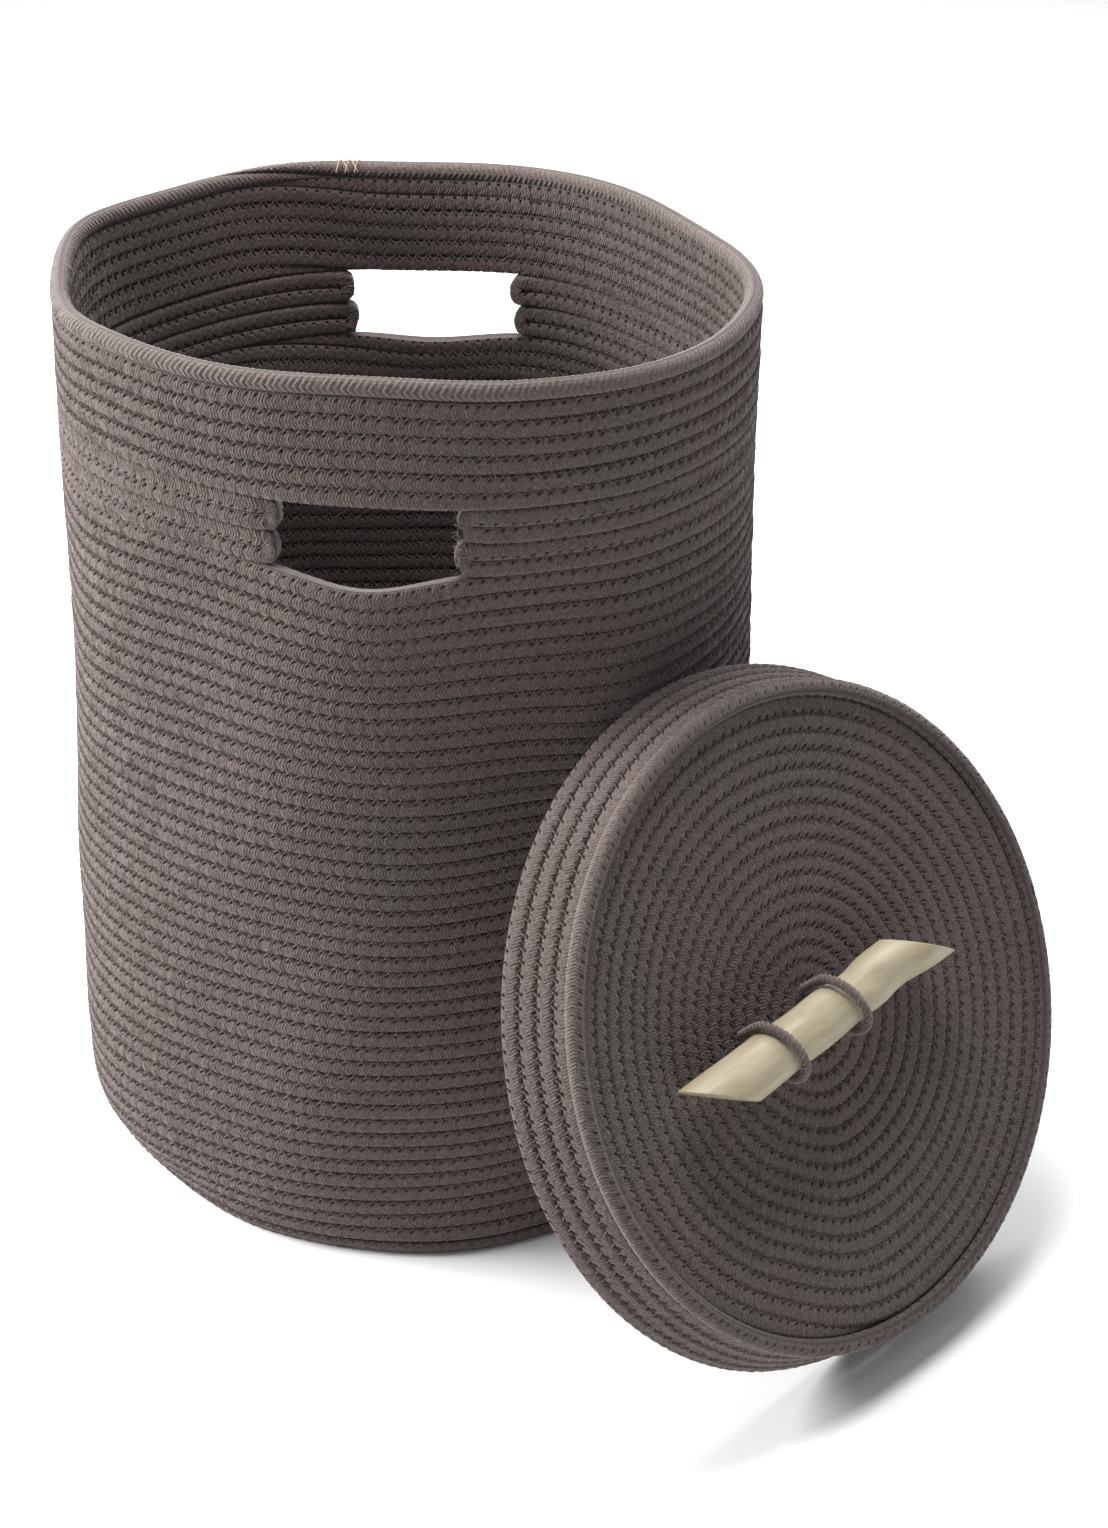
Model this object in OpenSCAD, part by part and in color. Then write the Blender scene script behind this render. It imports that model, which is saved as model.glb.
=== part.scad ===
// Tall round basket of coiled cotton rope with two hand slots, and its separate
// lid, which leans face outward against the basket's wall and stands on the floor.
// Millimetres, +Z up. The origin is the middle of the whole outline, on the floor.

/* [Rope] */
// Height of one sewn row of rope in the wall
row_pitch = 9.9; // [8:0.1:12]
// Width of one sewn row of rope in the lid
lid_pitch = 9.6; // [8:0.1:11]

/* [Basket] */
// Outside diameter of the basket
basket_d = 400; // [360:1:440]
// Rows of rope below the hand slots
rows_below = 44; // [40:1:50]
// Rows of rope that each hand slot is tall
rows_slot = 4; // [3:1:5]
// Rows of rope between the hand slots and the rim
rows_above = 6; // [4:1:8]
// Radius of the soft edge between the wall and the base
foot_round = 6; // [2:0.5:8]

/* [Hand slots] */
// Length of each hand slot, straight across its opening
slot_w = 101; // [80:1:120]
// Turn of the two hand slots about the upright axis, in degrees
slot_turn = 4.4; // [-15:0.1:15]

/* [Lid] */
// Outside diameter of the lid at its top edge
lid_top_d = 372; // [350:1:380]
// Outside diameter of the lid at its open edge
lid_mouth_d = 397; // [386:1:400]
// Rows of rope in the lid's skirt, below its edge rope
rows_skirt = 4; // [3:1:6]
// How far the middle of the lid's disc sags below its edge
lid_dish = 12; // [4:0.5:14]

/* [Leaning lid] */
// Direction the lid faces, in degrees round from the front
lean_turn = 45.3; // [30:0.1:60]
// How far the lid's face looks up from level, in degrees
lean_tilt = 25.6; // [23:0.1:27]
// Distance in plan from the basket's axis to the lid's middle, along the way the lid faces
lean_reach = 323.7; // [323:0.1:340]
// Distance in plan that the lid stands to the right of that line
lean_shift = 11.9; // [0:0.1:20]

/* [Toggle] */
// Length of the wooden toggle, tip to tip
toggle_l = 219; // [180:1:224]
// Diameter of the wooden toggle
toggle_d = 31; // [24:0.5:32]
// Slant of the toggle's sawn ends from square, in degrees
toggle_cut = 55.5; // [30:0.5:62]
// Distance between the two cords that hold the toggle
cord_gap = 54; // [40:1:70]
// Diameter of those cords
cord_d = 5.4; // [4:0.1:6]

/* [Hidden] */
$fn = 96;

basket_r = basket_d / 2;
inner_r = basket_r - row_pitch;
slot_z = rows_below * row_pitch;
upper_z = slot_z + rows_slot * row_pitch;
rim_z = upper_z + rows_above * row_pitch;
slot_angle = 2 * asin(slot_w / 2 / basket_r);
front = -90 - slot_turn;

// Lid, in its own frame: +Z out of its face, 0 at the middle of its edge rope
lid_r = lid_top_d / 2;
disc_r = lid_r - lid_pitch;
mouth_r = lid_mouth_d / 2;
rope_r = lid_pitch / 2;
skirt_depth = (rows_skirt - 0.5) * lid_pitch;
mouth_z = -rope_r - skirt_depth;
disc_top = -1;
disc_steps = 6;

// Leaning pose: the lid's outward direction, and its height when its mouth is on the floor
out_x = sin(lean_turn) * cos(lean_tilt);
out_y = -cos(lean_turn) * cos(lean_tilt);
out_z = sin(lean_tilt);
lid_x = lean_reach * sin(lean_turn) + lean_shift * cos(lean_turn);
lid_y = -lean_reach * cos(lean_turn) + lean_shift * sin(lean_turn);
lid_z = -mouth_z * sin(lean_tilt) + (mouth_r - rope_r) * cos(lean_tilt) + rope_r;

// The whole outline in plan, about the basket's axis, sets where the origin falls
far_x = lid_x + (lid_r - rope_r) * sqrt(1 - out_x * out_x) + rope_r;
far_y = lid_y - (lid_r - rope_r) * sqrt(1 - out_y * out_y) - rope_r;
basket_x = (basket_r - far_x) / 2;
basket_y = -(basket_r + far_y) / 2;

// Toggle, in the lid's frame
toggle_r = toggle_d / 2;
toggle_x = -13.6;
toggle_y = 3.4;
toggle_turn = 4.3;
toggle_clear = 0.6;
toggle_z = disc_surface(toggle_l / 2 - toggle_x) + toggle_r + toggle_clear;
cord_r = cord_d / 2;
cord_x = -11;
cord_clear = 0.3;
arch_r = toggle_r + cord_clear + cord_r;
knot_r = cord_d;
knot_z = disc_surface(0) - lid_pitch - knot_r;
hole_clear = 0.15;

rope_colour = "#6f6260";
rim_colour = "#7d706d";
cord_colour = "#6b534c";
wood_colour = "#e3dcc2";

// Height of the disc's upper side at a distance r from its middle
function disc_surface(r) = disc_top - lid_dish * (1 - pow(r / disc_r, 2));

module at_basket() {
    translate([basket_x, basket_y, 0]) children();
}

module at_lid() {
    translate([basket_x + lid_x, basket_y + lid_y, lid_z])
        rotate([90 - lean_tilt, 0, lean_turn])
            children();
}

module at_toggle() {
    at_lid()
        translate([toggle_x, toggle_y, toggle_z])
            rotate([0, 0, toggle_turn])
                children();
}

// A band of the basket's wall from height z, round from angle a0 through angle turn
module wall_band(z, h, a0 = 0, turn = 360) {
    rotate([0, 0, a0])
        rotate_extrude(angle = turn)
            translate([inner_r, z])
                square([row_pitch, h]);
}

module base_coil() {
    color(rope_colour)
        at_basket()
            cylinder(r = inner_r, h = row_pitch);
}

module wall_coil() {
    foot_edge = [for (a = [-90 : 15 : 0]) [basket_r - foot_round * (1 - cos(a)), foot_round * (1 + sin(a))]];
    color(rope_colour)
        at_basket()
            rotate_extrude()
                polygon(concat([[inner_r, slot_z], [inner_r, 0]], foot_edge, [[basket_r, slot_z]]));
}

module slot_panel_left() {
    color(rope_colour)
        at_basket()
            wall_band(slot_z, upper_z - slot_z, front - 180 + slot_angle / 2, 180 - slot_angle);
}

module slot_panel_right() {
    color(rope_colour)
        at_basket()
            wall_band(slot_z, upper_z - slot_z, front + slot_angle / 2, 180 - slot_angle);
}

module upper_coil() {
    color(rope_colour)
        at_basket()
            wall_band(upper_z, rim_z - upper_z);
}

module rim_rope() {
    color(rim_colour)
        at_basket()
            rotate_extrude()
                translate([inner_r + row_pitch / 2, rim_z])
                    union() {
                        translate([-row_pitch / 2, 0])
                            square([row_pitch, row_pitch / 2]);
                        translate([0, row_pitch / 2])
                            circle(d = row_pitch);
                    }
}

// Both legs of both toggle cords, made larger by grow for the holes that they pass through
module cord_legs(grow) {
    for (side = [-1, 1])
        for (leg = [-1, 1])
            translate([cord_x + side * cord_gap / 2, leg * arch_r, knot_z - toggle_z])
                cylinder(r = cord_r + grow, h = toggle_z - knot_z);
}

module lid_disc_coil() {
    upper = [for (i = [0 : disc_steps]) [disc_r * i / disc_steps, disc_surface(disc_r * i / disc_steps)]];
    lower = [for (i = [disc_steps : -1 : 0]) [upper[i][0], upper[i][1] - lid_pitch]];
    color(rope_colour)
        difference() {
            at_lid()
                rotate_extrude()
                    polygon(concat(upper, lower));
            at_toggle()
                cord_legs(hole_clear);
        }
}

module lid_edge_rope() {
    color(rim_colour)
        at_lid()
            rotate_extrude()
                translate([disc_r + rope_r, 0])
                    union() {
                        circle(r = rope_r);
                        translate([-rope_r, disc_top - lid_pitch])
                            square([rope_r, lid_pitch]);
                        translate([-rope_r, -rope_r])
                            square([lid_pitch, rope_r]);
                    }
}

module lid_skirt_coil() {
    inner_side = [[mouth_r - lid_pitch, mouth_z], [disc_r, disc_top - lid_pitch]];
    seat = [[disc_r + rope_r, disc_top - lid_pitch], [disc_r + rope_r, -rope_r]];
    outer_side = [[lid_r, -rope_r]];
    mouth_edge = [for (a = [0 : 15 : 165]) [mouth_r - rope_r + rope_r * cos(a), mouth_z - rope_r * sin(a)]];
    color(rope_colour)
        at_lid()
            rotate_extrude()
                polygon(concat(inner_side, seat, outer_side, mouth_edge));
}

// One cord: an arch over the toggle, two legs through the lid and a knot on each
module toggle_cord(side) {
    color(cord_colour)
        at_toggle()
            translate([cord_x + side * cord_gap / 2, 0, 0])
                union() {
                    rotate([90, 0, 90])
                        rotate_extrude(angle = 180)
                            translate([arch_r, 0])
                                circle(r = cord_r);
                    for (leg = [-1, 1]) {
                        translate([0, leg * arch_r, knot_z - toggle_z])
                            cylinder(r = cord_r, h = toggle_z - knot_z);
                        translate([0, leg * arch_r, knot_z - toggle_z])
                            sphere(r = knot_r);
                    }
                }
}

module toggle_cord_left() {
    toggle_cord(-1);
}

module toggle_cord_right() {
    toggle_cord(1);
}

// A round stick along X, sawn off at a slant at both ends
module toggle() {
    color(wood_colour)
        at_toggle()
            difference() {
                rotate([0, 90, 0])
                    cylinder(r = toggle_r, h = toggle_l, center = true);
                for (end = [0, 180])
                    rotate([0, 0, end])
                        translate([toggle_l / 2, -toggle_r, 0])
                            rotate([0, 0, toggle_cut])
                                translate([0, -toggle_l, -toggle_d])
                                    cube([toggle_l, 2 * toggle_l, 2 * toggle_d]);
            }
}

base_coil();
wall_coil();
slot_panel_left();
slot_panel_right();
upper_coil();
rim_rope();
lid_disc_coil();
lid_edge_rope();
lid_skirt_coil();
toggle_cord_left();
toggle_cord_right();
toggle();
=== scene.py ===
"""A lidded storage basket of coiled, sewn cotton rope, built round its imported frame.

Every row is a real length of braided rope with its needle holes and zigzag thread.
Sizes inside the script are millimetres; meshes are written in metres.
"""
import math

import bpy
import numpy as np
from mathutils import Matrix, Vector


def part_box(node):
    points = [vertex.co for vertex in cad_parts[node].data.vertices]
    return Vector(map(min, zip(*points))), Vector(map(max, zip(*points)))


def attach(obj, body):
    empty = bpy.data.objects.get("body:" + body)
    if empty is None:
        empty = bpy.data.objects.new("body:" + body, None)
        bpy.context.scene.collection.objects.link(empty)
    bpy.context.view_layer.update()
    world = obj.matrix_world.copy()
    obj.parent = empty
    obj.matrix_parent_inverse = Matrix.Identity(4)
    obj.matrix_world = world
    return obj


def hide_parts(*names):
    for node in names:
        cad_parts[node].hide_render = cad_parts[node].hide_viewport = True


MM = 0.001
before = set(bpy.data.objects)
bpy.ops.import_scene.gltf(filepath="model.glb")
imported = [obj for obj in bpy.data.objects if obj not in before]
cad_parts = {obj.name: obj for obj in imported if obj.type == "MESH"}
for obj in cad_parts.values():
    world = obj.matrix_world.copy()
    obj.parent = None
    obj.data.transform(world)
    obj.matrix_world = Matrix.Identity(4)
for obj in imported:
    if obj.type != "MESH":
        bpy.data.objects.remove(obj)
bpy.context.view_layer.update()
rng = np.random.default_rng(7)


# ---------------------------------------------------------------- sizes from the frame
def box_mm(node):
    low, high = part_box(node)
    return np.array(low) / MM, np.array(high) / MM


def corners_mm(node):
    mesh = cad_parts[node].data
    points = np.empty(len(mesh.vertices) * 3)
    mesh.vertices.foreach_get("co", points)
    return points.reshape(-1, 3) / MM


wall_low, wall_high = box_mm("wall_coil")
upper_low, upper_high = box_mm("upper_coil")
AXIS = (wall_low[:2] + wall_high[:2]) / 2
BASKET_R = (wall_high[0] - wall_low[0]) / 2
ROWS_BELOW, ROWS_SLOT, ROWS_ABOVE = 44, 4, 6
RIM_TOP = box_mm("rim_rope")[1][2]
ROW = RIM_TOP / (ROWS_BELOW + ROWS_SLOT + ROWS_ABOVE + 1)
SLOT_Z, UPPER_Z, RIM_Z = wall_high[2], upper_low[2], upper_high[2]
ROPE_T = 9.4  # thickness of the flattened rope through the wall
WALL_R = BASKET_R - ROPE_T / 2
SLOT_W = 101
SLOT_TURN = 4.4
# Directions round the basket are degrees to the right of its front
FRONT_SLOT, BACK_SLOT = -SLOT_TURN, 180 - SLOT_TURN
FLOOR_GAP = 0.05

LEAN_TURN, LEAN_TILT = math.radians(45.3), math.radians(25.6)
LID_ROW = 9.6
# The lid's own directions: out of its face, level across it, and up it
LID_N = np.array([
    math.sin(LEAN_TURN) * math.cos(LEAN_TILT),
    -math.cos(LEAN_TURN) * math.cos(LEAN_TILT),
    math.sin(LEAN_TILT),
])
LID_U = np.array([math.cos(LEAN_TURN), math.sin(LEAN_TURN), 0.0])
LID_W = np.cross(LID_N, LID_U)
edge_points = corners_mm("lid_edge_rope")
edge_middle = edge_points.mean(axis=0)
LID_C = edge_middle + LID_N * ((edge_points @ LID_N).max() - LID_ROW / 2 - edge_middle @ LID_N)
LID_R = np.abs((edge_points - LID_C) @ LID_U).max()
DISC_R = LID_R - LID_ROW
skirt_points = corners_mm("lid_skirt_coil") - LID_C
MOUTH_R = np.abs(skirt_points @ LID_U).max()
MOUTH_Z = (skirt_points @ LID_N).min() + LID_ROW / 2
DISH = 12.0
DISC_TOP = -1.0


# ---------------------------------------------------------------- how the soft basket has settled
def wrap(a):
    """The same direction, from -180 to 180 degrees."""
    return (a + 180) % 360 - 180


def hump(a, middle, width):
    """1 at the middle direction, fading over the width on both sides."""
    return np.exp(-((wrap(a - middle) / width) ** 2))


def ramp(x, start, end):
    """A smooth climb from 0 to 1 between start and end."""
    t = np.clip((x - start) / (end - start), 0, 1)
    return t * t * (3 - 2 * t)


def front_share(a):
    """1 over the soft front of the wall and 0 round the rest of it."""
    a = wrap(a)
    return 0.5 * (np.tanh((a + 66) / 13) - np.tanh((a - 36) / 17))


# How far the wall stands in from its round shape, in whole millimetres that follow the photo's rows:
# a row for each height and a column for each direction
INSET_A = [-180, -138, -116, -93, -70, -60, -50, -40, -30, -20, -10, 0, 10, 20, 30, 45, 60, 90, 135, 180]
INSET_Z = [10, 40, 99, 128, 188, 247, 306, 366, 425, 485, 534]
INSET = np.array([
    [0, 0, 0, 0, 8, 13, 14, 13, 13, 13, 12, 11, 10, 9, 8, 3, 0, -2, 0, 0],
    [0, 0, -2, -4, -8, -9, -8, 1, 6, 8, 10, 13, 15, 16, 15, 4, 0, -4, 0, 0],
    [0, 0, -4, -4, -9, -7, 2, 7, 10, 11, 12, 12, 12, 14, 14, 3, 0, -4, 0, 0],
    [0, 0, -4, -4, -5, 0, 5, 10, 13, 13, 13, 14, 14, 15, 14, 3, 0, -4, 0, 0],
    [0, 0, -4, -4, -2, 4, 12, 18, 21, 20, 18, 18, 19, 20, 20, 3, 0, -4, 0, 0],
    [0, 0, -3, -1, 4, 11, 18, 22, 23, 23, 22, 21, 22, 24, 22, 2, 0, -4, 0, 0],
    [0, 0, -3, 1, 8, 15, 23, 29, 30, 27, 25, 24, 24, 25, 23, 1, 0, -5, 0, 0],
    [0, 0, -3, 2, 12, 23, 32, 37, 36, 34, 30, 27, 28, 29, 26, 2, 0, -5, 0, 0],
    [0, -2, -5, 3, 15, 27, 37, 43, 43, 40, 33, 28, 29, 30, 27, 6, 0, -5, 0, 0],
    [0, -5, -8, 5, 16, 25, 32, 38, 39, 39, 40, 37, 30, 23, 18, 6, 0, -5, 0, 0],
    [0, -8, -11, 6, 17, 26, 34, 40, 42, 42, 43, 42, 36, 25, 16, 6, 0, -5, 0, 0],
], float)
GRID_A, GRID_Z, GRID_TOP = 2.0, 8.0, 561
EVEN_ROUND, EVEN_UP = 9, 4
by_angle = np.array([np.interp(np.arange(-180, 181, GRID_A), INSET_A, row) for row in INSET])
inset_grid = np.array([np.interp(np.arange(0, GRID_TOP, GRID_Z), INSET_Z, column) for column in by_angle.T]).T
for _ in range(EVEN_ROUND):
    inset_grid = (np.roll(inset_grid, 1, 1) + 2 * inset_grid + np.roll(inset_grid, -1, 1)) / 4
for _ in range(EVEN_UP):
    inset_grid[1:-1] = (inset_grid[:-2] + 2 * inset_grid[1:-1] + inset_grid[2:]) / 4


def inset(a, z):
    """The smoothed inset at any direction and height."""
    x, y = (wrap(a) + 180) / GRID_A, np.clip(z, 0, GRID_TOP - 6) / GRID_Z
    i, j = np.minimum(x.astype(int), inset_grid.shape[1] - 2), y.astype(int)
    x, y = x - i, y - j
    low = inset_grid[j, i] * (1 - x) + inset_grid[j, i + 1] * x
    high = inset_grid[j + 1, i] * (1 - x) + inset_grid[j + 1, i + 1] * x
    return low * (1 - y) + high * y


RISE = 4.5  # how far the front rows have risen at the rim
RISE_OUT = 1.73  # how far a row moves out as it rises 1, so that it keeps its place in the photo
RIM_BULGES = [(8, -154, 17), (-9, 120, 20)]  # amount, direction and width of each
RIM_FADE = 150  # how far below the rim those bulges reach
BACK_BULGE = 3  # of the rim's back
BACK_SLOT_DENT = 5  # beside and below the back slot
SLOT_SAG = 8  # of each slot's lower lip
RIM_WAVE = 1.3  # three times round the rim
WAVE = 0.7  # of every row
FOOT_TUCK = 3.0  # how far the lowest row turns in
LEANED_ON_DENT = 0.3  # where the lid leans on the wall


def settle_out(a, z):
    """How far the wall stands out from its round shape."""
    a, z = np.asarray(a, float), np.asarray(z, float)
    up = z / RIM_TOP
    high = np.exp((z - RIM_TOP) / RIM_FADE)
    out = -inset(a, z) + RISE_OUT * RISE * up * front_share(a)
    for amount, middle, width in RIM_BULGES:
        out += amount * high * hump(a, middle, width)
    out += BACK_BULGE * up * hump(a, 175, 40)
    out -= BACK_SLOT_DENT * hump(a, BACK_SLOT + 30, 15) * np.exp(-(((z - SLOT_Z + 25) / 60) ** 2))
    out += WAVE * np.sin(np.radians(9 * a) - z / 47)
    out -= FOOT_TUCK * np.exp(-((z / 6) ** 2))
    leaned_on = hump(a, 45, 16) * np.exp(-(((z - 345) / 45) ** 2))
    return out * (1 - leaned_on) - LEANED_ON_DENT * leaned_on


def settle_up(a, z):
    """How far a row has sunk or risen."""
    up = z / RIM_TOP
    rise = RISE * up * front_share(a)
    for slot in (FRONT_SLOT, BACK_SLOT):
        below = np.where(z < SLOT_Z + 1, np.exp((z - SLOT_Z) / 45), np.exp(-(z - SLOT_Z) / 4))
        rise -= SLOT_SAG * hump(a, slot + 1, 13) * below
    rise += RIM_WAVE * np.sin(np.radians(3 * a + 40)) * up ** 3
    rise += WAVE * np.sin(np.radians(7 * a) + z / 60) * up
    return rise


def outward(a):
    """The level direction away from the basket's axis."""
    turn = np.radians(a)
    return np.stack([np.sin(turn), -np.cos(turn), 0 * turn], -1)


def on_wall(a, z, depth=0.0):
    """The point on the settled wall's middle line, moved out by depth."""
    radius = WALL_R + settle_out(a, z) + depth
    turn = np.radians(a)
    return np.stack([
        AXIS[0] + radius * np.sin(turn),
        AXIS[1] - radius * np.cos(turn),
        z + settle_up(a, z),
    ], axis=-1)


def in_lid(x, y, z):
    """Points given along the lid's own directions, from the middle of its edge rope."""
    across = np.multiply.outer(x, LID_U) + np.multiply.outer(y, LID_W)
    return LID_C + across + np.multiply.outer(z, LID_N)


# ---------------------------------------------------------------- rope
STEP = 0.9  # from one ring of corners to the next
HOLE_RINGS = 8  # rings from one needle hole to the next
# One ring's corners as shares of the rope's half width and half thickness, round from its outer face
QUARTER = np.array([0, 0.36, 0.62, 0.87])
ACROSS = np.concatenate([QUARTER, [1.03], QUARTER[::-1], -QUARTER[1:], [-1.03], -QUARTER[:0:-1]])
FLAT = np.array([1, 0.98, 0.94, 0.82])
ROUND = np.array([1, 0.93, 0.79, 0.50])
FLAT_DEPTH = np.concatenate([FLAT, [0.6], -FLAT[::-1], -FLAT[1:], [0.6], FLAT[:0:-1]])
ROUND_DEPTH = np.concatenate([ROUND, [0.0], -ROUND[::-1], -ROUND[1:], [0.0], ROUND[:0:-1]])
FACES = np.sign(ROUND_DEPTH)
# Corners that hold the needle holes, how deep those are pressed in and how much painted shade they get at
# least
HOLES_ABOVE, ABOVE_DEPTH, ABOVE_SHADE = (2, 6), 1.4, 0.7
HOLES_BELOW, BELOW_DEPTH, BELOW_SHADE = (13, 11), 0.8, 0.3
PUFF = 0.34  # how far the rope swells between two stitches
SHEAR = 2.2  # how far the braid's ridges lean along the rope at its edges
GROOVE_SHADE = 0.66  # how much painted shade darkens the rope in the grooves between rows


def unit(v):
    """The same directions with length 1."""
    return v / np.maximum(np.linalg.norm(v, axis=-1, keepdims=True), 1e-9)


def slow_noise(n, length, size):
    """A smooth random line of n values that changes over length values."""
    knots = rng.normal(0, size, int(n / length) + 4)
    x = np.arange(n) / length + 1
    i = x.astype(int)
    t = x - i
    t = t * t * (3 - 2 * t)
    return knots[i] * (1 - t) + knots[i + 1] * t


def even_steps(points, step):
    """Values from 0 to the number of points less 1, a step of length apart."""
    length = np.concatenate([[0], np.cumsum(np.linalg.norm(np.diff(points, axis=0), axis=1))])
    count = max(int(length[-1] / step), 3)
    return np.interp(np.linspace(0, length[-1], count + 1), length, np.arange(len(points)))


def resample(values, at):
    """The values at places between their points."""
    i = np.minimum(at.astype(int), len(values) - 2)
    t = (at - i)[:, None]
    return values[i] * (1 - t) + values[i + 1] * t


class Rope:
    """Rings of corners along a route, with braid ridges, needle holes and stitch puckers."""

    def __init__(self, route, out, half_w=ROW * 0.512, half_t=ROPE_T / 2, step=STEP, closed=False, sewn=1.0,
                 ridge=0.17, shear=SHEAR, fullness=None, wander=0.22, dye=0.5, depth=FLAT_DEPTH, strand=1,
                 pale=0.0):
        if closed:
            route = np.vstack([route, route[:1]])
            out = np.vstack([out, out[:1]])
            if fullness is not None:
                fullness = np.append(fullness, fullness[0])
        at = even_steps(route, step)
        if closed:
            at = at[:-1]
            at = at[: len(at) // HOLE_RINGS * HOLE_RINGS]
        middle = resample(route, at)
        out = unit(resample(out, at))
        n = len(middle)
        ahead = np.roll(middle, -1, 0) - np.roll(middle, 1, 0) if closed else np.gradient(middle, axis=0)
        along = unit(ahead)
        across = unit(np.cross(out, along))
        out = unit(np.cross(along, across))
        if not closed:
            middle = middle + across * slow_noise(n, 60 / step, wander)[:, None]
            middle = middle + out * slow_noise(n, 90 / step, wander * 0.6)[:, None]
        ring = np.arange(n)
        width = np.ones(n)
        thick = 1 + slow_noise(n, 35 / step, 0.012)
        if fullness is not None:
            width = np.clip(resample(fullness[:, None], at)[:, 0], 0.03, 1)
            thick *= width ** 0.5
        reach_w = np.multiply.outer(width, ACROSS) * half_w
        reach_t = np.multiply.outer(thick, depth) * half_t
        parity = np.where(ring // strand % 2 == 0, 1.0, -1.0)
        ridge_out = ridge * parity * (1 + 0.12 * slow_noise(n, 5, 1)) + rng.normal(0, 0.05, n)
        reach_t += np.multiply.outer(ridge_out, FACES)
        reach_t += 0.08 * rng.normal(0, 1, reach_t.shape) * FACES
        hole_shade = np.zeros(reach_t.shape)
        if sewn:
            holes, lower = self.needle_holes(reach_t, hole_shade, sewn)
        lean = np.abs(ACROSS) * shear
        self.corners = (middle[:, None, :]
                        + along[:, None, :] * lean[None, :, None]
                        + across[:, None, :] * reach_w[:, :, None]
                        + out[:, None, :] * reach_t[:, :, None])
        # Painted shade along the rope's edges, in the grooves between rows
        groove = np.broadcast_to(np.clip((np.abs(ACROSS) - 0.87) * 5, 0, GROOVE_SHADE), hole_shade.shape)
        # Random strand tone, plus a painted highlight on the raised rings and a further painted highlight as
        # large as pale
        fleck_and_highlight = np.clip(0.42 + pale + 0.25 * parity[:, None] + rng.normal(0, 0.3, hole_shade.shape), 0, 1)
        tone = np.broadcast_to((dye + slow_noise(n, 70 / step, 0.22))[:, None], hole_shade.shape)
        # Painted shade of the grooves and the needle holes, together
        painted_shade = np.maximum(hole_shade, groove)
        self.marks = np.stack([painted_shade, fleck_and_highlight, np.clip(tone, 0, 1), np.ones(hole_shade.shape)], -1)
        self.middle, self.across, self.out = middle, across, out
        self.closed = closed
        self.count = n
        self.threads = [self.zigzag(side, holes, lower, width * half_w, thick * half_t)
                        for side in (1, -1)] if sewn else []

    @staticmethod
    def needle_holes(reach_t, hole_shade, sewn):
        """Puckers and holes pressed into reach_t, with the holes' painted shade marked in the given shade
        array; gives the rings that hold the holes.
        """
        n = len(reach_t)
        stitches = np.arange(n // HOLE_RINGS + 1)
        holes = np.clip(stitches * HOLE_RINGS + rng.integers(-1, 2, len(stitches)), 0, n - 1)
        lower = np.clip(holes + HOLE_RINGS // 2, 0, n - 1)
        puff = np.abs(np.sin(np.pi * np.arange(n) / HOLE_RINGS))
        for j, across in enumerate(np.abs(ACROSS)):
            if 0.3 < across < 1:
                reach_t[:, j] += PUFF * sewn * (puff - 0.5) * FACES[j]
        # Each needle hole gets painted shade, at least the amount given for its corners
        for corners, rings, depth, painted_shade in ((HOLES_ABOVE, holes, ABOVE_DEPTH, ABOVE_SHADE),
                                            (HOLES_BELOW, lower, BELOW_DEPTH, BELOW_SHADE)):
            for j in corners:
                for ring in (rings, np.minimum(rings + 1, n - 1)):
                    reach_t[ring, j] -= depth * sewn * FACES[j]
                    hole_shade[ring, j] = rng.uniform(painted_shade, 1, len(rings))
        return holes, lower

    def zigzag(self, side, holes, lower, half_w, half_t):
        """The sewing thread on one face: out of a hole, over the groove, into the next row and back."""
        m = min(len(holes), len(lower)) - 1
        between = (holes[:m] + lower[:m]) // 2
        back = (lower[:m] + holes[1:m + 1]) // 2
        points, looks = [], []
        for ring, y, lift in ((holes[:m], 0.50, -0.9), (between, 0.93, 0.30),
                              (lower[:m], 1.42, -0.5), (back, 0.93, 0.30)):
            ring = np.minimum(ring, self.count - 1)
            out = self.out[ring] * side
            points.append(self.middle[ring] + self.across[ring] * (y * half_w[ring])[:, None]
                          + out * (half_t[ring] * 0.96 + lift)[:, None])
            looks.append(out)
        return (np.stack(points, 1).reshape(-1, 3), np.stack(looks, 1).reshape(-1, 3))

    def mesh(self, start=0, end=None):
        """Corners, faces and marks of the rings from start to end."""
        n = self.count if end is None else min(end, self.count)
        corners = self.corners[start:n].reshape(-1, 3)
        marks = self.marks[start:n].reshape(-1, 4)
        rings = n - start
        m = len(ACROSS)
        i = np.arange(rings if self.closed else rings - 1)[:, None] * m
        j = np.arange(m)[None, :]
        k = (j + 1) % m
        nxt = (i + m) % (rings * m) if self.closed else i + m
        quads = np.stack([i + j, i + k, nxt + k, nxt + j], -1).reshape(-1, 4)
        if not self.closed:
            shut = np.array([[k, (m - k) % m, m - k - 1, k + 1] for k in range(m // 2 - 1)])
            quads = np.vstack([quads, shut, shut[:, ::-1] + (rings - 1) * m])
        return corners, quads, marks


def thread_mesh(points, out, radius=0.42):
    """A thin three-sided thread along points."""
    along = unit(np.gradient(points, axis=0))
    side = unit(np.cross(along, out))
    ring = np.stack([points + radius * out, points + radius * (0.9 * side - 0.4 * out),
                     points - radius * (0.9 * side + 0.4 * out)], 1)
    n = len(points)
    i = np.arange(n - 1)[:, None] * 3
    j = np.arange(3)[None, :]
    k = (j + 1) % 3
    quads = np.stack([i + j, i + 3 + j, i + 3 + k, i + k], -1).reshape(-1, 4)
    marks = np.tile([0.05, 0.6, 0.4, 1.0], (n * 3, 1))
    return ring.reshape(-1, 3), quads, marks


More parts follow.
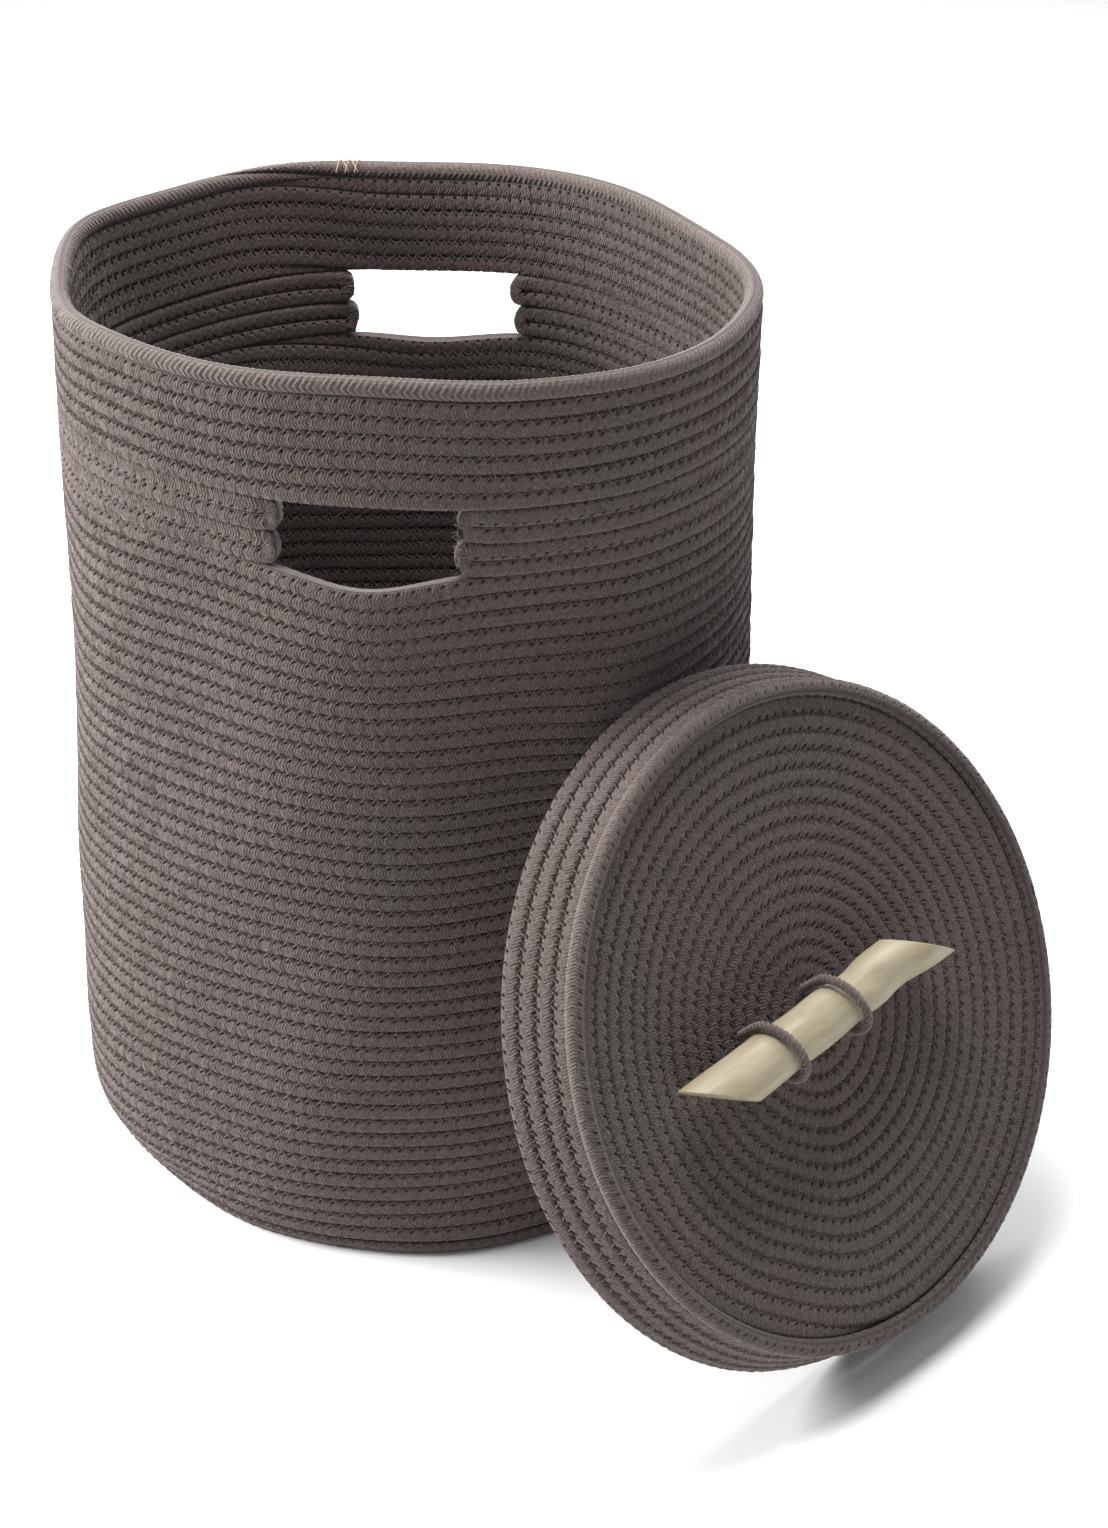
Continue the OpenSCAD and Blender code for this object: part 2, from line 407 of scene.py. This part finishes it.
def add_stitches(name, threads, body, share, first=0.0, last=1.0):
    """Thread pieces, each with a share of a rope's stitches, from first to last along it, on both faces."""
    for k in range(share):
        parts = []
        for points, out in threads:
            start = int(len(points) * (first + (last - first) * k / share))
            end = int(len(points) * (first + (last - first) * (k + 1) / share))
            parts.append(thread_mesh(points[start:end], out[start:end]))
        label = name if share == 1 else f"{name}_{k + 1}"
        add_piece(label, parts, ROPE, body)


def join(parts):
    """Several meshes' corners, faces and marks as one."""
    corners, quads, marks, base = [], [], [], 0
    for c, q, m in parts:
        corners.append(c)
        quads.append(q + base)
        marks.append(m)
        base += len(c)
    return np.vstack(corners), np.vstack(quads), np.vstack(marks)


def add_piece(name, parts, material, body, nodes=(), smooth=False):
    """One piece of the picture, joined from its parts, that rides a body and takes its nodes' place."""
    corners, quads, marks = join(parts)
    corners[:, 2] = np.maximum(corners[:, 2], FLOOR_GAP)
    mesh = bpy.data.meshes.new(name)
    mesh.vertices.add(len(corners))
    mesh.vertices.foreach_set("co", (corners * MM).ravel())
    mesh.loops.add(quads.size)
    mesh.loops.foreach_set("vertex_index", quads.ravel().astype(np.int32))
    mesh.polygons.add(len(quads))
    mesh.polygons.foreach_set("loop_start", np.arange(0, quads.size, 4, dtype=np.int32))
    mesh.polygons.foreach_set("use_smooth", np.full(len(quads), smooth))
    mesh.update(calc_edges=True)
    layer = mesh.color_attributes.new("mark", "FLOAT_COLOR", "POINT")
    layer.data.foreach_set("color", marks.ravel().astype(np.float32))
    mesh.validate()
    mesh.materials.append(material)
    piece = bpy.data.objects.new(name, mesh)
    bpy.context.collection.objects.link(piece)
    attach(piece, body)
    if nodes:
        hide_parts(*nodes)
    return piece


# ---------------------------------------------------------------- materials
def new_material(name):
    """A material with its nodes, its links and its shader."""
    material = bpy.data.materials.new(name)
    material.use_nodes = True
    nodes = material.node_tree.nodes
    return material, nodes, material.node_tree.links, nodes["Principled BSDF"]


def noise(nodes, links, place, scale, detail=3.0, rough=0.55):
    """Cloudy values between 0 and 1 over a place."""
    node = nodes.new("ShaderNodeTexNoise")
    node.inputs["Scale"].default_value = scale
    node.inputs["Detail"].default_value = detail
    node.inputs["Roughness"].default_value = rough
    links.new(place, node.inputs["Vector"])
    return node.outputs["Fac"]


def mix(nodes, links, factor, one, two):
    """One colour turning into another as the factor goes from 0 to 1."""
    node = nodes.new("ShaderNodeMix")
    node.data_type = "RGBA"
    for socket_name, value in (("Factor", factor), ("A", one), ("B", two)):
        socket = node.inputs[socket_name]
        if isinstance(value, (int, float, tuple)):
            socket.default_value = value
        else:
            links.new(value, socket)
    return node.outputs["Result"]


def spread(nodes, links, value, low, high, to_low=0.0, to_high=1.0):
    """A value from low to high moved to the range from to_low to to_high."""
    node = nodes.new("ShaderNodeMapRange")
    node.inputs["From Min"].default_value = low
    node.inputs["From Max"].default_value = high
    node.inputs["To Min"].default_value = to_low
    node.inputs["To Max"].default_value = to_high
    links.new(value, node.inputs["Value"])
    return node.outputs["Result"]


# Near black, painted shade in the needle holes and grooves
HOLE_SHADE_COLOUR = (0.012, 0.009, 0.009, 1)


def rope_material(name, pink, olive, plum, deep, light):
    """Uneven dye over braided cotton, with painted shade in the grooves and needle holes and a painted
    highlight on the raised braid rings.
    """
    material, nodes, links, shader = new_material(name)
    place = nodes.new("ShaderNodeTexCoord").outputs["Object"]
    mark = nodes.new("ShaderNodeAttribute")
    mark.attribute_name = "mark"
    split = nodes.new("ShaderNodeSeparateColor")
    links.new(mark.outputs["Color"], split.inputs["Color"])
    wide_blot = noise(nodes, links, place, 7, 3)
    small_blot = noise(nodes, links, place, 24, 1)
    fibre = noise(nodes, links, place, 760, 3, 0.7)
    # The marks: painted shade of holes and grooves, strand tone with painted highlight, and dye tone
    hole, fleck_and_highlight, tone = (split.outputs[part] for part in ("Red", "Green", "Blue"))
    colour = mix(nodes, links, spread(nodes, links, wide_blot, 0.44, 0.62, 0, 0.7), pink, olive)
    colour = mix(nodes, links, spread(nodes, links, small_blot, 0.55, 0.75, 0, 0.2), colour, plum)
    colour = mix(nodes, links, spread(nodes, links, tone, 0.45, 1.0, 0, 0.08), colour, deep)
    # Random strand tone and painted highlight, towards the light colour
    colour = mix(nodes, links, spread(nodes, links, fleck_and_highlight, 0.0, 1.0, 0.0, 0.40), colour, light)
    colour = mix(nodes, links, spread(nodes, links, fibre, 0.52, 0.66, 0.0, 0.6), colour, deep)
    colour = mix(nodes, links, spread(nodes, links, fibre, 0.48, 0.36, 0.0, 0.55), colour, light)
    # Painted shade in the needle holes and grooves, near black
    colour = mix(nodes, links, spread(nodes, links, hole, 0.1, 1.0, 0.0, 0.85), colour, HOLE_SHADE_COLOUR)
    links.new(colour, shader.inputs["Base Color"])
    links.new(spread(nodes, links, fibre, 0.3, 0.7, 0.82, 0.97), shader.inputs["Roughness"])
    bump = nodes.new("ShaderNodeBump")
    bump.inputs["Strength"].default_value = 0.2
    bump.inputs["Distance"].default_value = 0.0004
    links.new(fibre, bump.inputs["Height"])
    links.new(bump.outputs["Normal"], shader.inputs["Normal"])
    shader.inputs["Specular IOR Level"].default_value = 0.2
    shader.inputs["Sheen Weight"].default_value = 0.3
    shader.inputs["Sheen Roughness"].default_value = 0.45
    return material


def wood_material():
    """Peeled pale wood with long grain, faint brown blotches and a satin face."""
    material, nodes, links, shader = new_material("toggle_wood")
    stretch = nodes.new("ShaderNodeMapping")
    stretch.inputs["Scale"].default_value = (1.0, 6.0, 6.0)
    mark = nodes.new("ShaderNodeAttribute")
    mark.attribute_name = "grain"
    links.new(mark.outputs["Vector"], stretch.inputs["Vector"])
    grain = noise(nodes, links, stretch.outputs["Vector"], 26, 5, 0.6)
    blot = noise(nodes, links, mark.outputs["Vector"], 22, 3)
    colour = mix(nodes, links, spread(nodes, links, grain, 0.35, 0.7),
                 (0.47, 0.41, 0.29, 1), (0.36, 0.295, 0.18, 1))
    colour = mix(nodes, links, spread(nodes, links, blot, 0.50, 0.7, 0, 0.3), colour, (0.33, 0.25, 0.14, 1))
    links.new(colour, shader.inputs["Base Color"])
    links.new(spread(nodes, links, grain, 0.3, 0.7, 0.42, 0.6), shader.inputs["Roughness"])
    bump = nodes.new("ShaderNodeBump")
    bump.inputs["Strength"].default_value = 0.25
    bump.inputs["Distance"].default_value = 0.0004
    links.new(grain, bump.inputs["Height"])
    links.new(bump.outputs["Normal"], shader.inputs["Normal"])
    return material


ROPE = rope_material("cotton_rope", (0.093, 0.068, 0.063, 1), (0.072, 0.062, 0.050, 1),
                     (0.069, 0.056, 0.060, 1), (0.035, 0.026, 0.023, 1), (0.165, 0.132, 0.123, 1))
CORD = rope_material("toggle_cord", (0.145, 0.108, 0.100, 1), (0.120, 0.094, 0.084, 1),
                     (0.115, 0.086, 0.086, 1), (0.060, 0.043, 0.040, 1), (0.26, 0.21, 0.19, 1))
THREAD = rope_material("tack_thread", (0.42, 0.33, 0.23, 1), (0.36, 0.28, 0.19, 1),
                       (0.38, 0.30, 0.22, 1), (0.25, 0.18, 0.12, 1), (0.50, 0.42, 0.32, 1))
FUZZ = rope_material("cotton_fuzz", (0.24, 0.20, 0.19, 1), (0.21, 0.19, 0.17, 1),
                     (0.22, 0.19, 0.19, 1), (0.15, 0.12, 0.11, 1), (0.30, 0.26, 0.25, 1))
WOOD = wood_material()


# ---------------------------------------------------------------- basket
JOG = -160.0  # where each row climbs to the next one
JOG_TURN = 17 / 360


def climbed(turns):
    """Rows passed after so many turns, when each new row starts with a short climb."""
    near = np.round(turns)
    return near + ramp(turns - near, -JOG_TURN, JOG_TURN)


def layers(rows, steps=360):
    """Turns, height of the rope's middle in rows, and its fullness, for rope laid in level rows."""
    turns = np.linspace(-JOG_TURN, rows + JOG_TURN, int((rows + 2 * JOG_TURN) * steps) + 1)
    top = np.minimum(climbed(turns), rows)
    bottom = np.maximum(climbed(turns) - 1, 0)
    return turns, (top + bottom) / 2, top - bottom


def wall_frame(a, z):
    """Points on the settled wall and its outward directions there."""
    middle = on_wall(a, z)
    up = on_wall(a, z + 2) - on_wall(a, z - 2)
    along = np.gradient(middle, axis=0)
    return middle, unit(np.cross(along, up))


def wall_rope(rows, low_z, pitch=ROW, **how):
    """A rope laid in rows round the wall, from the height low_z up."""
    turns, level, fullness = layers(rows)
    middle, out = wall_frame(JOG + turns * 360, low_z + pitch * level)
    return Rope(middle, out, fullness=fullness, **how)


def add_rows(name, rope, rows_each, node, rows):
    """The rope as pieces of a few rows each."""
    per_row = rope.count / rows
    pieces = math.ceil(rows / rows_each)
    for k in range(pieces):
        start = int(k * rows_each * per_row)
        end = int(min((k + 1) * rows_each, rows) * per_row) + 1
        label = name if pieces == 1 else f"{name}_{k + 1}"
        add_piece(label, [rope.mesh(start, end)], ROPE, "basket", (node,) if k == 0 else ())


def slot_half(slot):
    """Half of the slot's length as degrees round the settled wall."""
    return math.degrees(SLOT_W / 2 / (WALL_R + float(settle_out(np.array(slot), np.array(SLOT_Z)))))


# Each side of the wall beside a slot is two loops of rope. Values in pairs are for the lower and the
# upper loop: how far it stops short of the slot, in bends, and how far its ends are drawn in
BEND = math.degrees(ROW / 2 / WALL_R)
SHORT_LEFT, SHORT_RIGHT = (1.2, 1.7), (1.5, 1.0)
DRAWN_IN = (1.6, 2.8)
LOOP_LEFT, LOOP_RIGHT = 0.35, 0.55


def slot_panel(name, start, end):
    """Two closed loops of rope, one above the other, that turn back at each slot."""
    parts = []
    swing = np.radians(np.linspace(-90, 90, 13)[1:-1])
    for pair in range(ROWS_SLOT // 2):
        z0 = SLOT_Z + (2 * pair + 0.5) * ROW
        z1 = z0 + ROW
        low = start + BEND * SHORT_LEFT[pair]
        high = end - BEND * SHORT_RIGHT[pair]
        a_run = np.arange(low, high, 1.0)
        right_a = high + np.cos(swing) * BEND * LOOP_RIGHT
        left_a = low - np.cos(swing) * BEND * LOOP_LEFT
        turn_z = (z0 + z1) / 2 + np.sin(swing) * ROW / 2
        a = np.concatenate([a_run, right_a, a_run[::-1], left_a])
        z = np.concatenate([np.full(len(a_run), z0), turn_z, np.full(len(a_run), z1), turn_z[::-1]])
        near = np.exp(-np.minimum(a - low, high - a).clip(0, 9) / 2.0)
        middle = on_wall(a, z, -DRAWN_IN[pair] * near)
        rope = Rope(middle, outward(a), half_w=ROW * 0.51, closed=True, fullness=1 - 0.05 * near)
        parts.append(rope.mesh())
    add_piece(name, parts, ROPE, "basket", (name,))


def frays(name, a0, z0, a1, z1, count, reach):
    """Loose ends of cotton that stand out of a cut or worn edge, from one wall point to another."""
    parts = []
    for t in rng.uniform(0, 1, count):
        root = on_wall(np.array([a0 + (a1 - a0) * t]), np.array([z0 + (z1 - z0) * t]), rng.uniform(-3, 4))[0]
        way = rng.normal(0, 1, 3) + np.array([0, -0.6, 0.2])
        bow = rng.normal(0, 1, 3)
        along = np.linspace(-0.2, 1, 5)[:, None]
        points = root + reach * rng.uniform(0.4, 1) * (unit(way) * along + 0.35 * unit(bow) * along ** 2)
        parts.append(thread_mesh(points, np.broadcast_to(unit(np.cross(way, bow)), points.shape), 0.16))
    add_piece(name, parts, FUZZ, "basket")


TACK_STITCHES, TACK_POINTS = 5, 9


def rope_end_tack():
    """The pale stitches that hold the tucked end of the rim rope at the back left."""
    parts = []
    for k in range(TACK_STITCHES):
        a = np.full(TACK_POINTS, JOG - 10.5 + 0.8 * k) + np.linspace(-0.7, 0.7, TACK_POINTS) * (-1) ** k
        swing = np.radians(np.linspace(40, 185, TACK_POINTS))[:, None]
        middle = on_wall(a, np.full(TACK_POINTS, RIM_Z + ROW * 0.5))
        look = outward(a) * np.cos(swing) + np.array([0, 0, 1]) * np.sin(swing)
        parts.append(thread_mesh(middle + look * ROPE_T * 0.6, look, 0.36))
    add_piece("rim_tack", parts, THREAD, "basket")


def basket():
    """The wall, its slots and its rim. Stitches end before a top row, which has no row to be sewn to."""
    wall = wall_rope(ROWS_BELOW, 0)
    add_rows("wall_rows", wall, 4, "wall_coil", ROWS_BELOW)
    add_stitches("wall_stitches", wall.threads, "basket", 3, 0, 1 - 1.1 / ROWS_BELOW)
    front, back = slot_half(FRONT_SLOT), slot_half(BACK_SLOT)
    slot_panel("slot_panel_right", FRONT_SLOT + front, BACK_SLOT - back)
    slot_panel("slot_panel_left", BACK_SLOT + back - 360, FRONT_SLOT - front)
    upper = wall_rope(ROWS_ABOVE, UPPER_Z)
    add_rows("upper_rows", upper, 3, "upper_coil", ROWS_ABOVE)
    add_stitches("upper_stitches", upper.threads, "basket", 1, 0, 1 - 1.15 / ROWS_ABOVE)
    # The rim rope gets a strong painted highlight through pale
    rim = wall_rope(1, RIM_Z - 0.6, pitch=ROW * 1.03, half_w=ROW * 0.55, half_t=ROPE_T * 0.55,
                    sewn=0, ridge=0.22, shear=3.6, depth=ROUND_DEPTH, strand=2, pale=0.55)
    add_piece("rim_rope_row", [rim.mesh()], ROPE, "basket", ("rim_rope",))
    frays("slot_frays", FRONT_SLOT + front, SLOT_Z, FRONT_SLOT + front, UPPER_Z, 40, 4.5)
    frays("lip_frays", FRONT_SLOT + 0.3 * front, SLOT_Z - 6, FRONT_SLOT + front, SLOT_Z - 3, 34, 3.4)
    frays("rim_frays", JOG - 5, RIM_TOP - 1, JOG + 6, RIM_TOP - 1, 60, 5)
    rope_end_tack()
    base()


BASE_STEP = 2.0  # wider than in other ropes, since nobody sees the base


def base():
    """The flat coil under the basket."""
    rings = round((BASKET_R - ROW) / ROW)
    pitch = (BASKET_R - ROW) / rings
    radius, turn, fullness = disc_spiral(rings, pitch, 120)
    turn += math.radians(JOG)
    grow = 1 + settle_out(np.degrees(turn), np.full(len(turn), 6.0)) / WALL_R * (radius / WALL_R) ** 2
    middle = np.stack([
        AXIS[0] + radius * grow * np.sin(turn),
        AXIS[1] - radius * grow * np.cos(turn),
        np.full(len(turn), ROPE_T / 2 + 0.3),
    ], -1)
    out = np.broadcast_to([0.0, 0.0, 1.0], middle.shape)
    rope = Rope(middle, out, half_w=pitch / 2, step=BASE_STEP, wander=0.05, fullness=fullness)
    add_piece("base_rows", [rope.mesh()], ROPE, "basket", ("base_coil",))


def disc_spiral(rings, pitch, steps):
    """A coil that winds out from its middle and is laid in round rings further out."""
    turns = np.linspace(0.3, rings + JOG_TURN, int(rings * steps))
    ringed = ramp(turns, 1, 14)
    top = np.minimum(climbed(turns), rings)
    bottom = climbed(turns) - 1
    level = (1 - ringed) * turns + ringed * (top + bottom) / 2
    fullness = np.where(turns > rings - 0.5, top - bottom, 1.0)
    return pitch * level, turns * 2 * np.pi, fullness


# ---------------------------------------------------------------- lid
LID_JOG = math.radians(250)


def disc_surface(r):
    """Height of the sagging disc's upper side, in the lid's own directions."""
    return DISC_TOP - DISH * (1 - (r / DISC_R) ** 2)


def lid_disc():
    """The lid's flat coil, which sags in its middle."""
    rings = round(DISC_R / LID_ROW)
    pitch = DISC_R / rings
    r, turn, fullness = disc_spiral(rings, pitch, 220)
    turn += LID_JOG
    x, y = r * np.cos(turn), r * np.sin(turn)
    z = disc_surface(r) - ROPE_T / 2 + 0.5 * np.sin(2 * turn + r / 25) * r / DISC_R
    slope = 2 * DISH * r / DISC_R ** 2
    out = in_lid(-slope * np.cos(turn), -slope * np.sin(turn), np.ones(len(turn))) - LID_C
    disc = Rope(in_lid(x, y, z), out, half_w=pitch * 0.53, wander=0.05, fullness=fullness)
    half = disc.count // 2
    add_stitches("lid_disc_stitches", disc.threads, "lid", 1, 0.012, 1)
    add_piece("lid_disc_rows_inner", [disc.mesh(0, half + 1)], ROPE, "lid", ("lid_disc_coil",))
    add_piece("lid_disc_rows_outer", [disc.mesh(half)], ROPE, "lid")


def lid_edge():
    """The rounder rope that turns the corner between the disc and the skirt."""
    a = np.radians(np.arange(0, 360.0, 1))
    r = DISC_R + LID_ROW / 2 - 0.2 + 0.5 * np.sin(3 * a)
    middle = in_lid(r * np.cos(a), r * np.sin(a), -0.6 + 0.5 * np.sin(2 * a + 1))
    out = in_lid(np.cos(a), np.sin(a), np.full(len(a), 0.8)) - LID_C
    # The edge rope gets a slight painted highlight through pale
    edge = Rope(middle, out, half_w=LID_ROW * 0.54, half_t=LID_ROW * 0.50, closed=True, sewn=0.7, ridge=0.18,
                depth=ROUND_DEPTH, pale=0.1)
    add_piece("lid_edge_row", [edge.mesh()], ROPE, "lid", ("lid_edge_rope",))


SKIRT_ROWS = 4


def lid_skirt():
    """Rows that widen from the edge rope down to the lid's open side."""
    low, high = MOUTH_Z - LID_ROW / 2, -LID_ROW * 0.40
    pitch = (high - low) / SKIRT_ROWS
    turns, level, fullness = layers(SKIRT_ROWS)
    a = LID_JOG - 2 * np.pi * turns
    z = high - pitch * level
    lean = (MOUTH_R - LID_R) / (high - low - LID_ROW / 2)
    r = LID_R - LID_ROW / 2 + (high - z) * lean - 1.7 - 0.5 * np.sin(3 * a + z / 20)
    middle = in_lid(r * np.cos(a), r * np.sin(a), z)
    out = in_lid(np.cos(a), np.sin(a), np.full(len(a), lean)) - LID_C
    skirt = Rope(middle, out, half_w=pitch * 0.5, half_t=LID_ROW * 0.49, fullness=fullness, wander=0.12)
    add_stitches("lid_skirt_stitches", skirt.threads, "lid", 1, 0, 1 - 1.25 / SKIRT_ROWS)
    add_piece("lid_skirt_rows", [skirt.mesh()], ROPE, "lid", ("lid_skirt_coil",))


# ---------------------------------------------------------------- toggle and its cords
TOGGLE_L, TOGGLE_R, TOGGLE_CUT = 219, 15.5, math.radians(55.5)
STICK_RINGS, STICK_AROUND = 120, 48
CAP_RINGS = (0.97, 0.7, 0.4, 0.001)  # shares of the cut face's size
TOGGLE_X, TOGGLE_Y, TOGGLE_TURN = -13.6, 3.4, math.radians(4.3)
CORD_MIDDLE, CORD_GAP, CORD_R = -11, 54, 2.7
CORD_SLANT = 4.0  # how far each arch slants along the stick
LEGS_IN = 0.52  # how near the legs come together under the stick
KNOT_R = 3.2
TOGGLE_Z = float(disc_surface(TOGGLE_L / 2 - TOGGLE_X)) + TOGGLE_R + 0.6
ARCH_R = TOGGLE_R + 0.3 + CORD_R


def at_toggle(x, y, z):
    """Points given from the middle of the stick: along it, across it and out of the lid's face."""
    c, s = math.cos(TOGGLE_TURN), math.sin(TOGGLE_TURN)
    return in_lid(TOGGLE_X + c * x - s * y, TOGGLE_Y + s * x + c * y, TOGGLE_Z + z)


def stick_ring(share, phi):
    """Corners round the stick at a place from -1 at its left end to 1 at its right end."""
    along = share * TOGGLE_L / 2
    # It is thinner between the cords, to the right of them and a little on the left
    waist = 1 - 0.09 * math.exp(-((along - 4) / 26) ** 2)
    neck = 1 - 0.17 * math.exp(-((along - 56) / 21) ** 2)
    swell = 0.985 - 0.03 * math.exp(-((along + 60) / 25) ** 2)
    radius = TOGGLE_R * waist * neck * swell * (1 + 0.012 * np.sin(3 * phi + share * 5))
    y = radius * np.cos(phi)
    tilt = math.tan(TOGGLE_CUT)
    right_end = TOGGLE_L / 2 - (TOGGLE_R + y) * tilt
    left_end = -TOGGLE_L / 2 + (TOGGLE_R - y) * tilt
    x = left_end + (right_end - left_end) * (share + 1) / 2
    return np.stack([x, y, radius * np.sin(phi)], -1)


def toggle():
    """A peeled stick, flared at its right end, with slanted saw cuts."""
    phi = np.linspace(0, 2 * np.pi, STICK_AROUND, endpoint=False)
    rings = [stick_ring(share, phi) for share in np.linspace(-1, 1, STICK_RINGS)]
    caps = []
    for end in (0, -1):
        middle = rings[end].mean(axis=0)
        caps.append([middle + (rings[end] - middle) * size for size in CAP_RINGS])
    points = np.array([*caps[0][::-1], *rings, *caps[1]])
    x, y, z = points.reshape(-1, 3).T
    i = np.arange(len(points) - 1)[:, None] * STICK_AROUND
    j = np.arange(STICK_AROUND)[None, :]
    k = (j + 1) % STICK_AROUND
    quads = np.stack([i + j, i + STICK_AROUND + j, i + STICK_AROUND + k, i + k], -1).reshape(-1, 4)
    stick = (at_toggle(x, y, z), quads, np.ones((len(x), 4)))
    piece = add_piece("toggle_stick", [stick], WOOD, "toggle", ("toggle",), True)
    grain = piece.data.attributes.new("grain", "FLOAT_VECTOR", "POINT")
    grain.data.foreach_set("vector", (points * MM).ravel().astype(np.float32))


STRANDS, LAY, YARN_STEP, YARN_AROUND = 3, 9.0, 0.8, 8


def twisted(route, radius):
    """Strands of yarn laid round a route, as one mesh for each."""
    middle = resample(route, even_steps(route, YARN_STEP))
    along = unit(np.gradient(middle, axis=0))
    hint = np.array([0.31, 0.22, 0.93])  # a direction that no cord runs along
    side = unit(np.cross(along, hint))
    other = np.cross(along, side)
    n = len(middle)
    spin = np.arange(n) * YARN_STEP / LAY * 2 * np.pi
    phi = np.linspace(0, 2 * np.pi, YARN_AROUND, endpoint=False)[None, :, None]
    i = np.arange(n - 1)[:, None] * YARN_AROUND
    j = np.arange(YARN_AROUND)[None, :]
    k = (j + 1) % YARN_AROUND
    quads = np.stack([i + j, i + k, i + YARN_AROUND + k, i + YARN_AROUND + j], -1).reshape(-1, 4)
    parts = []
    for strand in range(STRANDS):
        turn = (spin + strand * 2 * np.pi / STRANDS)[:, None]
        centre = middle + radius * 0.5 * (side * np.cos(turn) + other * np.sin(turn))
        ring = side[:, None, :] * np.cos(phi) + other[:, None, :] * np.sin(phi)
        corners = centre[:, None, :] + radius * 0.56 * ring
        marks = np.tile([0.0, 0.5, 0.5, 1.0], (n * YARN_AROUND, 1))
        marks[:, 1] = rng.uniform(0, 1, n * YARN_AROUND)
        parts.append((corners.reshape(-1, 3), quads, marks))
    return parts


def toggle_cord(side):
    """An arch over the stick, two legs through the lid and a knot on each."""
    low = float(disc_surface(0)) - LID_ROW - 2 * CORD_R - TOGGLE_Z
    swing = np.radians(np.arange(0, 181, 6))
    leg_y, leg_z = np.array([LEGS_IN, 0.62, 0.86]) * ARCH_R, np.array([low, -20, -9])
    y = np.concatenate([leg_y, ARCH_R * np.cos(swing), -leg_y[::-1]])
    z = np.concatenate([leg_z, ARCH_R * np.sin(swing), leg_z[::-1]])
    x = CORD_MIDDLE + side * CORD_GAP / 2 - CORD_SLANT * y / ARCH_R
    parts = twisted(at_toggle(x, y, z), CORD_R)
    phi = np.linspace(0, 4 * np.pi, 60)
    for leg in (-1, 1):
        knot_x = CORD_MIDDLE + side * CORD_GAP / 2 - leg * CORD_SLANT + KNOT_R * np.cos(phi)
        knot_y = leg * LEGS_IN * ARCH_R + KNOT_R * np.sin(phi)
        knot_z = low - 1.5 - KNOT_R * np.linspace(-1, 1, len(phi))
        parts += twisted(at_toggle(knot_x, knot_y, knot_z), 2.4)
    name = "toggle_cord_left" if side < 0 else "toggle_cord_right"
    add_piece(name + "_twist", parts, CORD, "lid", (name,), True)


basket()
lid_disc()
lid_edge()
lid_skirt()
toggle()
toggle_cord(-1)
toggle_cord(1)


# ---------------------------------------------------------------- floor, light and camera
FLOOR_REACH = 12.0


def floor():
    mesh = bpy.data.meshes.new("floor")
    corners = [(-FLOOR_REACH, -FLOOR_REACH, 0), (FLOOR_REACH, -FLOOR_REACH, 0),
               (FLOOR_REACH, FLOOR_REACH, 0), (-FLOOR_REACH, FLOOR_REACH, 0)]
    mesh.from_pydata(corners, [], [(0, 1, 2, 3)])
    material, _, _, shader = new_material("floor")
    shader.inputs["Base Color"].default_value = (0.93, 0.93, 0.93, 1)
    shader.inputs["Roughness"].default_value = 0.9
    mesh.materials.append(material)
    plane = bpy.data.objects.new("floor", mesh)
    bpy.context.collection.objects.link(plane)


def area_light(name, place, target, size, watts, colour=(1, 1, 1)):
    light = bpy.data.lights.new(name, "AREA")
    light.shape = "DISK"
    light.size = size
    light.energy = watts
    light.color = colour
    lamp = bpy.data.objects.new(name, light)
    lamp.location = place
    lamp.rotation_mode = "QUATERNION"
    lamp.rotation_quaternion = (Vector(target) - Vector(place)).to_track_quat("-Z", "Y")
    bpy.context.collection.objects.link(lamp)


def studio():
    world = bpy.data.worlds.new("studio")
    world.use_nodes = True
    back = world.node_tree.nodes["Background"]
    back.inputs["Color"].default_value = (0.93, 0.95, 1.0, 1)
    back.inputs["Strength"].default_value = 0.36
    bpy.context.scene.world = world
    bpy.context.scene.view_settings.view_transform = "Standard"
    middle = (0.0, 0.0, 0.25)
    area_light("key_left", (-2.3, 0.2, 1.3), middle, 1.3, 120, (1.0, 0.985, 0.975))
    area_light("top_soft", (-0.4, 0.5, 2.6), middle, 1.6, 50, (0.97, 0.98, 1.0))
    area_light("overhead", (-0.09, 0.0, 1.6), (-0.09, 0.08, 0.3), 0.6, 9, (1.0, 1.0, 1.0))
    area_light("back_soft", (0.7, 1.7, 2.1), middle, 1.4, 44, (0.98, 0.99, 1.0))


# The camera's place from the basket's axis and the floor
CAMERA_BACK, CAMERA_UP, CAMERA_RIGHT = 1542.6, 1120.7, 88.2
CAMERA_PITCH = 30.02
CAMERA_LENS, CAMERA_SENSOR = 68.63, 36


def camera():
    data = bpy.data.cameras.new("camera")
    data.sensor_fit = "VERTICAL"
    data.sensor_height = CAMERA_SENSOR
    data.sensor_width = CAMERA_SENSOR
    data.lens = CAMERA_LENS
    data.clip_end = 50
    view = bpy.data.objects.new("camera", data)
    view.location = ((AXIS[0] + CAMERA_RIGHT) * MM, (AXIS[1] - CAMERA_BACK) * MM, CAMERA_UP * MM)
    view.rotation_euler = (math.radians(90 - CAMERA_PITCH), 0, 0)
    bpy.context.collection.objects.link(view)
    bpy.context.scene.camera = view


floor()
studio()
camera()
